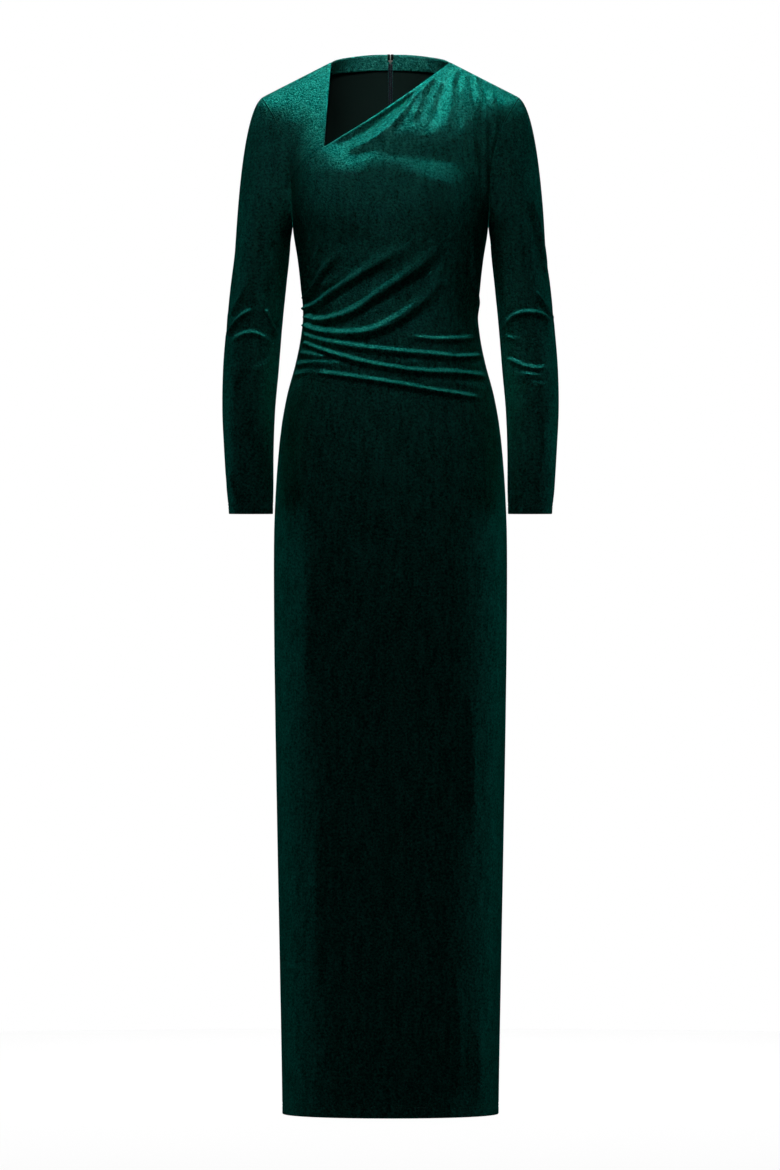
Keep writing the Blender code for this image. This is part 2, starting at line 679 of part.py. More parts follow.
yoke_line = build_front(velvet)
build_yoke(yoke_line, velvet)
back_shape, back_ways = build_back("back_left", 1, velvet)
build_back("back_right", -1, velvet)
build_facing("facing_left", 1, back_shape, back_ways, velvet)
build_facing("facing_right", -1, back_shape, back_ways, velvet)
build_tape("zip_tape_left", 1, back_shape, back_ways, tape)
build_tape("zip_tape_right", -1, back_shape, back_ways, tape)
left_knots = np.linspace(0, TIP_KNOT, YOKE_SIDE_ROWS + YOKE_SEAM_ROWS + SLANT_ROWS + 1)
right_knots = np.concatenate((np.linspace(0, YOKE_KNOT, YOKE_SIDE_ROWS + 1),
                              np.linspace(YOKE_KNOT, TIP_KNOT, YOKE_ROWS + 1)[1:]))
build_sleeve("sleeve_left", 1, left_knots, velvet)
build_sleeve("sleeve_right", -1, right_knots, velvet)
build_zip_head(back_shape, back_ways, metal)
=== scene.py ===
import math

import bmesh
import bpy
import numpy as np
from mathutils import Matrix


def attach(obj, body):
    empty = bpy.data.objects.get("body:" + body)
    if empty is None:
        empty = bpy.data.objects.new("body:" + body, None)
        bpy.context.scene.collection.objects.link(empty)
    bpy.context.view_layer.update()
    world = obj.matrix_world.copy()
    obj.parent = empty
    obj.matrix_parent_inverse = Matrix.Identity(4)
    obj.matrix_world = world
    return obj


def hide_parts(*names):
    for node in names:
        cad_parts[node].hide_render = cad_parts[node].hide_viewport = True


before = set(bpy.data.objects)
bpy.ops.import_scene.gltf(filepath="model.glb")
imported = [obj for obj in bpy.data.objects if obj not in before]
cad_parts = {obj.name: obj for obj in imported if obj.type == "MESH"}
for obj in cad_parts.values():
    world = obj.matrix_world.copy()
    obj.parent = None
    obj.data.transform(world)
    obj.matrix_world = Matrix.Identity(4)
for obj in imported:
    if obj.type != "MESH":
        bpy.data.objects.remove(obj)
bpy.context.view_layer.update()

MM = 0.001

# Camera: a long lens straight in front, level with the middle of the gown, as the photo was taken.
CAMERA_DISTANCE = 12.0
CAMERA_ACROSS = -0.7 * MM
CAMERA_LEVEL = -755.5 * MM
CAMERA_REACH = 60
SENSOR_WIDTH = 36
PHOTO_HEIGHT = 1170
PIXEL_SIZE = 1.45 * MM
camera = bpy.data.objects.new("camera", bpy.data.cameras.new("camera"))
bpy.context.scene.collection.objects.link(camera)
bpy.context.scene.camera = camera
camera.location = (CAMERA_ACROSS, -CAMERA_DISTANCE, CAMERA_LEVEL)
camera.rotation_euler = (math.radians(90), 0, 0)
camera.data.sensor_width = SENSOR_WIDTH
camera.data.lens = SENSOR_WIDTH * CAMERA_DISTANCE / (PHOTO_HEIGHT * PIXEL_SIZE)
camera.data.clip_end = CAMERA_REACH

# Studio: a pale floor disc under the hem, white surroundings, and soft boxes overhead, at the sides and
# behind, with two narrow ones aimed at the chest and into the neck. The disc shines as brightly as the
# surroundings and casts nothing back on the pile, and the overhead box casts no shadows.
WHITE = (1, 1, 1, 1)
FLOOR_LEVEL = -1.5275
FLOOR_RADIUS = 2.4
FLOOR_EDGES = 96
FLOOR_COLOUR = (0.60, 0.60, 0.60, 1)
FLOOR_SHINE = 0.86
BACKDROP_COLOUR = (0.007, 0.007, 0.007, 1)
SOFT_BOXES = (
    # name, place, target, size, watts, spread in degrees, whether it casts shadows
    ("box_above", (0, 1.2, 2.4), (0, 0, -0.3), (1.2, 0.5), 38, 180, False),
    ("box_high", (0, -1.6, 2.3), (0, 0, -0.3), (1.2, 0.7), 1.9, 180, True),
    ("box_chest", (-0.6, -1.7, 2.1), (-0.02, -0.1, -0.15), (0.25, 0.25), 0.035, 10, True),
    ("box_neck", (0, -0.5, 0.5), (0, 0.07, -0.01), (0.12, 0.12), 0.12, 30, True),
    ("box_left", (2.2, 1.5, -0.6), (0, 0, -0.7), (1.8, 2.0), 2.0, 180, True),
    ("box_right", (-2.2, 1.5, -0.6), (0, 0, -0.7), (1.8, 2.0), 2.0, 180, True),
    ("box_behind", (0, 2.6, 1.0), (0, 0, -0.6), (1.2, 0.8), 1.0, 180, True),
)


def set_inputs(node, inputs):
    """Set a node's inputs by name, each to a value or to another node's output."""
    for name, value in inputs.items():
        socket = node.inputs[name.replace("_", " ")]
        if isinstance(value, bpy.types.NodeSocket):
            node.id_data.links.new(value, socket)
        else:
            socket.default_value = value
    return node


def finish(material, **inputs):
    """Set inputs of a material's one Principled BSDF by name."""
    set_inputs(material.node_tree.nodes["Principled BSDF"], inputs)


def new_material(name, **inputs):
    """A material with one Principled BSDF, whose inputs are set by name."""
    material = bpy.data.materials.new(name)
    material.use_nodes = True
    finish(material, **inputs)
    return material


floor_bm = bmesh.new()
bmesh.ops.create_circle(floor_bm, cap_ends=True, segments=FLOOR_EDGES, radius=FLOOR_RADIUS)
bmesh.ops.translate(floor_bm, vec=(0, 0, FLOOR_LEVEL), verts=floor_bm.verts)
floor = bpy.data.objects.new("floor", bpy.data.meshes.new("floor"))
floor_bm.to_mesh(floor.data)
floor_bm.free()
bpy.context.scene.collection.objects.link(floor)
paint = new_material("floor_paint", Base_Color=FLOOR_COLOUR, Roughness=0.9)
finish(paint, Emission_Color=WHITE, Emission_Strength=FLOOR_SHINE)
floor.data.materials.append(paint)
floor.visible_diffuse = False
floor.visible_glossy = False

world = bpy.data.worlds.new("studio")
bpy.context.scene.world = world
world.use_nodes = True
backdrop = world.node_tree.nodes["Background"]
glow = world.node_tree.nodes.new("ShaderNodeBackground")
path = world.node_tree.nodes.new("ShaderNodeLightPath")
mix = world.node_tree.nodes.new("ShaderNodeMixShader")
backdrop.inputs["Color"].default_value = BACKDROP_COLOUR
glow.inputs["Color"].default_value = WHITE
world.node_tree.links.new(path.outputs["Is Camera Ray"], mix.inputs["Fac"])
world.node_tree.links.new(backdrop.outputs["Background"], mix.inputs[1])
world.node_tree.links.new(glow.outputs["Background"], mix.inputs[2])
world.node_tree.links.new(mix.outputs["Shader"], world.node_tree.nodes["World Output"].inputs["Surface"])
bpy.context.scene.view_settings.view_transform = "Standard"

for name, place, target, size, watts, spread, casts_shadows in SOFT_BOXES:
    light = bpy.data.lights.new(name, "AREA")
    light.shape = "RECTANGLE"
    light.size, light.size_y = size
    light.energy = watts
    light.spread = math.radians(spread)
    light.use_shadow = casts_shadows
    soft_box = bpy.data.objects.new(name, light)
    soft_box.location = place
    way = np.array(target) - np.array(place)
    across = math.hypot(way[0], way[1])
    soft_box.rotation_euler = (math.atan2(across, -way[2]), 0, math.atan2(-way[0], way[1]))
    bpy.context.scene.collection.objects.link(soft_box)

# Velvet: polyester stretch velvet in deep emerald. Its short pile is dark where it points at the eye and
# lustrous where it leans away, and it is crushed in small flecks, and in patches that are drawn out along the
# length of the gown. Its wrong side is a plain dull knit.
PILE_DARK = (0.003, 0.10, 0.083, 1)
PILE_LIGHT = (0.075, 0.62, 0.520, 1)
PILE_EDGE = (0.08, 0.62, 0.50, 1)
SHEEN_COLOUR = (0.02, 0.42, 0.34, 1)
KNIT_COLOUR = (0.007, 0.021, 0.0175, 1)
FLECKS_SCALE = 330.0
PATCHES_SCALE = 110.0
PATCHES_DRAWN = (1, 1, 0.25)
PATCHES_SHARE = 0.35
TONE_RANGE = (0.50, 0.88)
NAP_DEPTH = 3.5 * MM


def add_node(material, kind, **inputs):
    """A new node of a material, whose inputs are set by name."""
    return set_inputs(material.node_tree.nodes.new(kind), inputs)


def two_tones(material, tone, colours, places):
    """The output of a ramp from one colour to another, by a tone that rises between two places."""
    ramp = add_node(material, "ShaderNodeValToRGB", Fac=tone)
    for element, colour, at in zip(ramp.color_ramp.elements, colours, places):
        element.position = at
        element.color = colour
    return ramp.outputs["Color"]


velvet = new_material("emerald_velvet", Roughness=0.37, Metallic=1.0, Specular_Tint=PILE_EDGE)
finish(velvet, Sheen_Weight=0.12, Sheen_Roughness=0.3, Sheen_Tint=SHEEN_COLOUR)
place = add_node(velvet, "ShaderNodeTexCoord").outputs["Object"]
drawn = add_node(velvet, "ShaderNodeMapping", Vector=place, Scale=PATCHES_DRAWN).outputs["Vector"]
flecks = add_node(velvet, "ShaderNodeTexNoise", Vector=place, Scale=FLECKS_SCALE, Detail=3.0, Roughness=0.7)
patches = add_node(velvet, "ShaderNodeTexNoise", Vector=drawn, Scale=PATCHES_SCALE, Detail=3.0, Roughness=0.6)
tone = add_node(velvet, "ShaderNodeMath", Value=patches.outputs["Fac"])
tone.operation = "MULTIPLY_ADD"
tone.inputs[1].default_value = PATCHES_SHARE
velvet.node_tree.links.new(flecks.outputs["Fac"], tone.inputs[2])
pile = two_tones(velvet, tone.outputs["Value"], (PILE_DARK, PILE_LIGHT), TONE_RANGE)
nap = add_node(velvet, "ShaderNodeBump", Height=flecks.outputs["Fac"], Strength=1.0, Distance=NAP_DEPTH)
finish(velvet, Base_Color=pile, Normal=nap.outputs["Normal"])

knit = new_material("velvet_wrong_side", Base_Color=KNIT_COLOUR, Roughness=0.9, Specular_IOR_Level=0.15)

# Front: one piece of velvet from the hem to the left shoulder. It is pleated into the left shoulder seam,
# cut on a slant across the neck, joined to the right yoke, and gathered into the right side seam at the
# waist, so that long folds fan out over the body. Each edge is turned in, at the neck with a soft roll.
HEM = -1522.5 * MM
HIP = -520 * MM
WAIST_TOP = -300 * MM
UNDERARM = -238 * MM
BODY_SECTIONS = (
    # level, half width, front, back, squareness
    (-1.5225, 0.1570, -0.108, 0.120, 2.15),
    (-1.3000, 0.1607, -0.107, 0.122, 2.20),
    (-1.1000, 0.1645, -0.106, 0.124, 2.25),
    (-0.9200, 0.1675, -0.106, 0.126, 2.30),
    (-0.8000, 0.1689, -0.107, 0.128, 2.30),
    (-0.6800, 0.1688, -0.107, 0.129, 2.25),
    (-0.6000, 0.1652, -0.106, 0.125, 2.20),
    (-0.5300, 0.1588, -0.106, 0.115, 2.15),
    (-0.4800, 0.1497, -0.105, 0.102, 2.10),
    (-0.4300, 0.1365, -0.103, 0.087, 2.05),
    (-0.3850, 0.1285, -0.101, 0.077, 2.00),
    (-0.3567, 0.1270, -0.101, 0.075, 2.00),
    (-0.3277, 0.1298, -0.103, 0.077, 2.00),
    (-0.2850, 0.1345, -0.108, 0.083, 2.00),
    (-0.2380, 0.1415, -0.112, 0.089, 2.00),
)
SIDE_AT_UNDERARM = -0.006
SIDE_AT_HEM = 0.010
NECK_POINT = (0.086, 0.0, 0.003)
ARMHOLE = (
    # x, y, z, from the underarm up the front to the shoulder tip and down the back
    (0.1415, -0.006, -0.238), (0.1432, -0.040, -0.205), (0.1452, -0.048, -0.155), (0.1600, -0.036, -0.095),
    (0.1860, 0.004, -0.048), (0.1650, 0.048, -0.098), (0.1545, 0.062, -0.150), (0.1480, 0.046, -0.207),
)
TIP_KNOT = 4.0  # places round the armhole, counted in its points
YOKE_KNOT = 1.6
YOKE_SEAM = (
    # x, y, z, after the armhole
    (-0.1400, -0.060, -0.1660), (-0.1270, -0.077, -0.1483), (-0.1103, -0.086, -0.1334),
    (-0.0956, -0.089, -0.1240),
)
SLANTED_NECK_EDGE = (
    # x, y, z
    (-0.0956, -0.089, -0.1240), (-0.0500, -0.088, -0.0960), (-0.0100, -0.076, -0.0700),
    (0.0300, -0.055, -0.0410), (0.0640, -0.028, -0.0150), NECK_POINT,
)
BUST_HEIGHT = 18 * MM
BUST_LEVEL = -205 * MM
BUST_APART = 85 * MM
BUST_SPREAD = 70 * MM
BUST_DROP = 62 * MM
BUST_LIMIT = 142 * MM
FRONT_CURVE = (1.0, 0.84, 0.72, 0.58, 0.44, 0.31, 0.22, 0.15, 0.09, 0.04, 0.0)  # fullness, from underarm up
TOP_FADE = 2.5
WALL = 1.0 * MM
SEAM_FOLD = (0.6 * MM, 0.8 * MM)  # how far a turned edge reaches out, and half of its depth
NECK_FOLD = (2.4 * MM, 1.5 * MM)
HEM_FOLD = (1.2 * MM, 1.2 * MM)
HEM_ALLOWANCE = 18 * MM
SEAM_ALLOWANCE = 6 * MM
NECK_ALLOWANCE = 8 * MM
SHOULDER_ALLOWANCE = 8 * MM
SIDE_FADE = 12 * MM
NECK_FADE = 6 * MM
SHOULDER_FADE = 7 * MM
FRONT_COLUMNS = 126
COLUMN_CROWDING = 0.35
PLAIN_FROM = 45 * MM
SKIRT_ROWS = 37
WAIST_ROWS = 150
CHEST_ROWS = 20
BELOW_YOKE_ROWS = 18
YOKE_SEAM_ROWS = 24
SLANT_ROWS = 42
CORNER_ROWS = 3
BRIDGED_ROWS = (-10, 32)  # counted from the underarm
BRIDGE_SIDES = 0.075


def unit(ways):
    """Scale each vector to length one."""
    return ways / np.linalg.norm(ways, axis=-1, keepdims=True)


def read(rows, places, closed=False):
    """Points at places counted in rows, on a smooth curve through a table's rows."""
    rows = np.array(rows, dtype=float)
    places = np.atleast_1d(places)
    first = np.floor(places).astype(int)
    if not closed:
        first = np.clip(first, 0, len(rows) - 2)
    part = (places - first)[:, None]

    def row(step):
        return rows[(first + step) % len(rows)] if closed else rows[np.clip(first + step, 0, len(rows) - 1)]

    before, start, end, after = row(-1), row(0), row(1), row(2)
    rise = part ** 2 * (3 - 2 * part)
    return (start * (1 - rise) + end * rise + (end - before) / 2 * part * (1 - part) ** 2
            - (after - start) / 2 * part ** 2 * (1 - part))


def read_levels(sections, levels):
    """Sections at the given levels, as columns of numbers without the level itself."""
    heights = np.array([row[0] for row in sections])
    order = 1 if heights[0] < heights[-1] else -1
    places = np.interp(order * levels, order * heights, range(len(heights)))
    return read(sections, places)[:, 1:].T[..., None]


def run_along(points):
    """How far along its line, or up its column of a grid, each point is."""
    steps = np.linalg.norm(np.diff(points, axis=0), axis=-1)
    return np.concatenate((0 * steps[:1], steps)).cumsum(axis=0)


def between(places, known, line):
    """Points at places along a line whose own points have known places, straight between them."""
    return np.stack([np.interp(places, known, line[:, axis]) for axis in range(3)], -1)


def along(rows, count, samples=200):
    """Points at even steps along a smooth curve through the rows, both ends included."""
    fine = read(rows, np.linspace(0, len(rows) - 1, samples))
    run = run_along(fine)
    return between(np.linspace(0, run[-1], count + 1), run, fine)


def crowded(count, crowding):
    """Shares from 0 to 1 in a number of steps, which are shorter towards both ends."""
    steps = np.linspace(0, 1, count + 1)
    return steps - crowding * np.sin(2 * math.pi * steps) / (2 * math.pi)


def torso(levels, angles):
    """Points of the body's form at levels and angles. Angle 0 is the wearer's left, pi / 2 the back."""
    half, front, back, square = read_levels(BODY_SECTIONS, levels)
    side = np.interp(levels, (HEM, UNDERARM), (SIDE_AT_HEM, SIDE_AT_UNDERARM))[:, None]
    cosine, sine = np.cos(angles), np.sin(angles)
    reach = (np.abs(cosine) ** square + np.abs(sine) ** square) ** (-1 / square)
    depth = np.where(sine < 0, side - front, back - side)
    return np.stack((half * cosine * reach, side + depth * sine * reach, levels[:, None] + 0 * reach), -1)


def armhole(knots, side):
    """Points of one armhole, from the underarm up the front to the shoulder tip and down the back."""
    return read(ARMHOLE, knots, closed=True) * (side, 1, 1)


def shoulder_line(shares, side):
    """Points of a shoulder seam, from the neck point to the tip."""
    shares = shares[:, None]
    return ((1 - shares) * np.array(NECK_POINT) + shares * np.array(ARMHOLE[int(TIP_KNOT)])) * (side, 1, 1)


def patch(shares, bottom, top, left, right, curve):
    """Blend four seam lines into a curved panel, rows upwards, columns at the given shares across."""
    across = shares[None, :, None]
    rise = np.linspace(0, 1, len(left))
    low = read(np.array(curve)[:, None], rise * (len(curve) - 1))[:, None]
    high = rise[:, None, None] ** TOP_FADE
    chords = (1 - across) * left[:, None] + across * right[:, None]
    return chords + low * (bottom - chords[0]) + high * (top - chords[-1])


def bridge(points, first, last, side_share, slope_rows=3):
    """Run the columns on smooth curves between two rows, fully in the middle and not at all at the sides."""
    start, end = points[first], points[last]
    length = np.linalg.norm(end - start, axis=-1, keepdims=True)
    leave = unit(start - points[first - slope_rows]) * length
    arrive = unit(points[last + slope_rows] - end) * length
    rise = np.linspace(0, 1, last - first + 1)[:, None, None]
    curve = (start * (2 * rise ** 3 - 3 * rise ** 2 + 1) + end * (3 * rise ** 2 - 2 * rise ** 3)
             + leave * rise * (1 - rise) ** 2 - arrive * rise ** 2 * (1 - rise))
    bridged = points.copy()
    bridged[first:last + 1] = side_share * points[first:last + 1] + (1 - side_share) * curve
    return bridged


def bust(points):
    """Move points of the front forward over the bust."""
    across = np.abs(points[..., 0])
    above = points[..., 2] - BUST_LEVEL
    lobe = np.exp(-((across - BUST_APART) / BUST_SPREAD) ** 2 - (above / BUST_DROP) ** 2)
    raised = points.copy()
    raised[..., 1] -= BUST_HEIGHT * lobe * (1 - np.minimum(across / BUST_LIMIT, 1) ** 6)
    return raised


def outward(points):
    """The way out of the cloth at each point of a grid."""
    return unit(np.cross(np.gradient(points, axis=1), np.gradient(points, axis=0)))


def from_hole(points, side):
    """The way out of the cloth along an armhole: away from the hole's middle."""
    ways = points - np.array(ARMHOLE).mean(axis=0) * (side, 1, 1)
    ways[:, 0] = 0
    return unit(ways)


def edge_first(grid, edge):
    """A grid turned so that its low, high, start or end edge comes first."""
    if edge in ("start", "end"):
        grid = grid.swapaxes(0, 1)
    return grid[::-1] if edge in ("high", "end") else grid


def rows_upwards(grid, edge):
    """A grid turned back from having an edge first."""
    if edge in ("high", "end"):
        grid = grid[::-1]
    return grid.swapaxes(0, 1) if edge in ("start", "end") else grid


def turn_in(points, ways, edge, reach, drop, allowance, arcs=3, settle=6):
    """Turn one edge of a grid in: a round fold that reaches to the edge, then cloth lying under the rest."""
    points, ways = edge_first(points, edge).copy(), edge_first(ways, edge)
    reach, drop = (np.broadcast_to(value, (points.shape[1],))[:, None] for value in (reach, drop))
    out = ways[0]
    beyond = points[0] - points[1]
    beyond = unit(beyond - out * (beyond * out).sum(-1, keepdims=True))
    gone = run_along(points)
    points -= beyond * reach * np.exp(-gone[..., None] / (settle * reach))
    turns = np.linspace(0, math.pi, arcs + 1)[1:, None, None]
    fold = points[0] + beyond * reach * np.sin(turns) - out * drop * (1 - np.cos(turns))
    count = max(2, int(np.searchsorted(np.median(gone, axis=1), allowance)))
    under = points[1:count + 1] - 2 * drop * ways[1:count + 1]
    added = np.concatenate((fold, under))[::-1]
    points = np.concatenate((added, points))
    ways = np.concatenate((np.repeat(ways[:1], len(added), axis=0), ways))
    return rows_upwards(points, edge), rows_upwards(ways, edge)


def lay_cloth(name, points, wall=WALL, closed=False):
    """A sheet of velvet, laid on a grid of points, with the wall thickness of the cloth."""
    rows, columns = points.shape[:2]
    bm = bmesh.new()
    bm.loops.layers.uv.new("cut")
    bmesh.ops.create_grid(bm, x_segments=columns - 1, y_segments=rows - 1, size=0.5, calc_uvs=True)
    for vertex, point in zip(bm.verts, points.reshape(-1, 3)):
        vertex.co = point
    if closed:
        bmesh.ops.remove_doubles(bm, verts=bm.verts, dist=0.01 * MM)
    mesh = bpy.data.meshes.new(name)
    bm.to_mesh(mesh)
    bm.free()
    mesh.shade_smooth()
    mesh.materials.append(velvet)
    mesh.materials.append(knit)
    cloth = bpy.data.objects.new(name, mesh)
    bpy.context.scene.collection.objects.link(cloth)
    thick = cloth.modifiers.new("wall", "SOLIDIFY")
    thick.thickness = wall
    thick.offset = -1
    thick.material_offset = 1
    thick.material_offset_rim = 0
    return cloth


def ridge(points, route, steps=14):
    """Distance of each point from a fold's route in the front view, and how far along the route it is."""
    line = read(np.reshape(route, (-1, 2)) * MM, np.linspace(0, len(route) / 2 - 1, steps + 1))
    start, run = line[:-1], np.diff(line, axis=0)
    gap = points[..., None, :] - start
    share = np.clip((gap * run).sum(-1) / (run * run).sum(-1), 0, 1)
    away = np.linalg.norm(gap - share[..., None] * run, axis=-1)
    nearest = away.argmin(-1)[..., None]
    place = (nearest + np.take_along_axis(share, nearest, -1))[..., 0] / steps
    return away.min(-1), place


def ease(value):
    """A smooth step from 0 to 1."""
    value = np.clip(value, 0, 1)
    return value * value * (3 - 2 * value)


def edge_fade(points, edges, over):
    """Shares from 0 at the named edges of a grid to 1 at a distance in from them."""
    share = np.ones(points.shape[:2])
    for edge in edges:
        share *= ease(rows_upwards(run_along(edge_first(points, edge)), edge) / over)
    return share


def fold_heights(points, folds, crest=1.3, hollow=0.45, widening=2.3, sharing=3, lit=2.2 * MM):
    """Height of the folds at points of a panel: soft crests with hollows, just below their lit routes."""
    flat = points[..., (0, 2)] + (0, lit)
    crests = np.zeros(flat.shape[:-1])
    hollows = np.zeros(flat.shape[:-1])
    for height, narrow, wide, rising, falling, route in folds:
        away, place = ridge(flat, route)
        spread = (narrow + (wide - narrow) * place) * MM
        full = height * MM * ease(place / rising) * ease((1 - place) / falling)
        crests += (full * crest * np.exp(-(away / spread) ** 2)) ** sharing
        hollows += (full * hollow * np.exp(-(away / (widening * spread)) ** 2)) ** sharing
    return crests ** (1 / sharing) - hollows ** (1 / sharing)


FRONT_FOLDS = (
    # height, spread at its start and end, shares of its length to rise and fall over, route: x and z in mm
    (6.4, 4, 8, 0.04, 0.30, (-126, -353, -110, -350, -73, -324, -17, -289, 33, -260)),
    (7.4, 3.8, 9, 0.04, 0.25, (-125, -364, -99, -372, -54, -359, -8, -327, 40, -294, 79, -257)),
    (7.4, 3.8, 9, 0.04, 0.25, (-125, -376, -110, -386, -67, -392, -17, -385, 37, -351, 77, -307)),
    (5.2, 5.5, 3.4, 0.04, 0.15, (-126, -390, -100, -401, -36, -413, 59, -422, 103, -425, 136, -421)),
    (5.6, 3.6, 4.2, 0.04, 0.12, (-128, -402, -91, -418, -36, -434, 40, -446, 96, -448, 141, -453)),
    (2.8, 4, 6, 0.06, 0.60, (-131, -418, -110, -423, -70, -426)),
    (3.2, 4, 6, 0.06, 0.60, (-137, -436, -110, -433, -82, -436, -48, -441)),
    (2.2, 4, 6, 0.08, 0.60, (-139, -450, -128, -448, -113, -441)),
    (5.2, 3.8, 4.0, 0.12, 0.15, (-112, -446, -45, -456, 12, -465, 64, -474, 136, -485)),
    (6.0, 3, 5, 0.08, 0.45, (-126, -330, -115, -305, -107, -276, -95, -246)),
    (6.4, 3, 6, 0.06, 0.40, (-126, -340, -110, -322, -93, -294, -62, -268)),
    (3.4, 6, 9, 0.30, 0.50, (-102, -326, -76, -311, -56, -295)),
    (5.2, 3, 5, 0.20, 0.40, (-127, -318, -122, -290, -117, -256, -114, -236)),
    (4.0, 4, 3.6, 0.35, 0.25, (20, -395, 68, -400, 124, -396)),
    (2.0, 4.5, 4.5, 0.40, 0.40, (16, -436, 42, -432)),
    (2.0, 4.5, 4.5, 0.40, 0.40, (36, -469, 60, -462)),
    (2.0, 5, 5, 0.40, 0.40, (74, -424, 101, -416)),
    (4.2, 2.6, 3.4, 0.30, 0.30, (117, -236, 119, -280, 122, -315, 126, -345, 128, -372)),
    (1.6, 5, 6, 0.40, 0.40, (112, -357, 127, -393)),
    (1.6, 8, 10, 0.40, 0.40, (-133, -185, -137, -238)),
)
SHOULDER_PLEATS = (
    # as above
    (4.0, 3.0, 6, 0.05, 0.45, (108, -12, 112, -45, 117, -90, 121, -136, 136, -193)),
    (3.8, 3.5, 7, 0.05, 0.50, (94, -8, 89, -36, 87, -67, 81, -112)),
    (3.2, 3.5, 6, 0.10, 0.50, (98, -30, 105, -76, 105, -113, 102, -142)),
    (2.8, 5, 9, 0.08, 0.50, (122, -16, 126, -48, 128, -84)),
    (3.4, 3, 5, 0.15, 0.35, (134, -50, 137, -90, 137, -117, 136, -154, 139, -191, 141, -222)),
    (2.8, 3.5, 6, 0.15, 0.50, (146, -30, 151, -90, 148, -139, 144, -180)),
    (4.0, 4, 6, 0.10, 0.40, (62, -20, 51, -32, 44, -46, 39, -70, 31, -86)),
    (3.0, 5, 6, 0.10, 0.25, (60, -26, 31, -51, 6, -86, -31, -116, -68, -131)),
)
NECK_TROUGHS = (
    # as above, but depths
    (6.0, 6, 8, 0.15, 0.45, (34, -46, 0, -70, -24, -89, -50, -107, -82, -124)),
    (0.8, 5, 8, 0.40, 0.50, (-14, -124, -48, -139, -66, -141)),
    (2.6, 4, 6, 0.25, 0.50, (76, -28, 68, -66, 56, -104)),
    (2.6, 3, 4, 0.15, 0.50, (96, -18, 99, -50, 103, -90, 108, -120)),
)
SKIRT_FOLDS = (
    # as above
    (4.4, 6, 8, 0.50, 0.40, (58, -860, 64, -960, 69, -1080)),
    (3.6, 6, 8, 0.45, 0.45, (116, -900, 122, -1120)),
    (5.0, 6, 8, 0.60, 0.20, (94, -1290, 97, -1380, 101, -1485)),
    (3.6, 7, 9, 0.60, 0.20, (126, -1360, 129, -1500)),
    (4.2, 7, 9, 0.60, 0.20, (-60, -1280, -57, -1390, -62, -1490)),
    (2.8, 9, 11, 0.50, 0.40, (-5, -1200, -7, -1440)),
    (3.0, 11, 13, 0.50, 0.50, (-116, -600, -124, -1000)),
    (2.2, 13, 15, 0.50, 0.50, (-30, -560, -20, -820)),
    (2.6, 9, 11, 0.50, 0.40, (-104, -1040, -108, -1340)),
)
hem_steps = np.array((0, 2, 4, 7, 9.5, 11, 12.5, 14, 15.5, 17, 19, 24, 32)) * MM
STITCHED_STEPS = (5, 8)  # the hem steps that carry the rows of stitches


def stitch_groove(levels, end, rows, depth=0.45 * MM, spread=0.9 * MM):
    """Depth of the two shallow grooves that the hem's twin stitching pulls into the pile, row by row."""
    groove = np.zeros((rows, 1))
    for step in STITCHED_STEPS:
        groove[:len(levels), 0] += depth * np.exp(-((levels - end - hem_steps[step]) / spread) ** 2)
    return groove


front_levels = np.concatenate((
    HEM + hem_steps,
    np.linspace(HEM + PLAIN_FROM, HIP, SKIRT_ROWS + 1),
    np.linspace(HIP, WAIST_TOP, WAIST_ROWS + 1)[1:],
    np.linspace(WAIST_TOP, UNDERARM, CHEST_ROWS + 1)[1:],
))
front_shares = crowded(FRONT_COLUMNS, COLUMN_CROWDING)
front_low = torso(front_levels, math.pi * (1 + front_shares))
below_yoke = armhole(np.linspace(0, YOKE_KNOT, BELOW_YOKE_ROWS + 1), -1)
yoke_line = along((tuple(below_yoke[-1]),) + YOKE_SEAM, YOKE_SEAM_ROWS)
slant = along(SLANTED_NECK_EDGE, SLANT_ROWS)
left_edge = np.concatenate((below_yoke, yoke_line[1:], slant[1:]))
right_edge = armhole(np.linspace(0, TIP_KNOT, len(left_edge)), 1)
front_top = patch(front_shares, front_low[-1], shoulder_line(front_shares, 1),
                  left_edge, right_edge, FRONT_CURVE)
front_form = np.concatenate((front_low, front_top[1:]))
underarm = len(front_levels) - 1
first, last = (underarm + row for row in BRIDGED_ROWS)
to_side = np.minimum(front_shares, 1 - front_shares)[:, None]
front_form = bust(bridge(front_form, first, last, np.exp(-(to_side / BRIDGE_SIDES) ** 2)))

# The seam with the yoke ends at a corner, where the slanted neck edge begins.
corner = underarm + BELOW_YOKE_ROWS + YOKE_SEAM_ROWS
yoke_line = front_form[underarm + BELOW_YOKE_ROWS:corner + 1, 0]
fade = np.full((len(front_form), 1), SIDE_FADE)
fade[corner:] = NECK_FADE
heights = (fold_heights(front_form, FRONT_FOLDS) + fold_heights(front_form, SHOULDER_PLEATS)
           + fold_heights(front_form, SKIRT_FOLDS, hollow=0.3)
           - fold_heights(front_form, NECK_TROUGHS, hollow=0, lit=0))
heights *= edge_fade(front_form, ("start",), fade) * edge_fade(front_form, ("end",), SIDE_FADE)
heights *= edge_fade(front_form, ("high",), SHOULDER_FADE)
heights -= stitch_groove(front_levels, HEM, len(front_form))
front_points = front_form + outward(front_form) * heights[..., None]
hem_lines = [front_points[row] for row in STITCHED_STEPS]
ways = outward(front_points)
ways[underarm:, -1] = from_hole(front_points[underarm:, -1], 1)
reach = np.full(len(front_points), SEAM_FOLD[0])
reach[corner:] = NECK_FOLD[0]
reach[corner - CORNER_ROWS:corner] = np.linspace(SEAM_FOLD[0], NECK_FOLD[0], CORNER_ROWS + 2)[1:-1]
drop = np.full(len(front_points), SEAM_FOLD[1])
drop[corner:] = NECK_FOLD[1]
front_points, ways = turn_in(front_points, ways, "start", reach, drop, NECK_ALLOWANCE)
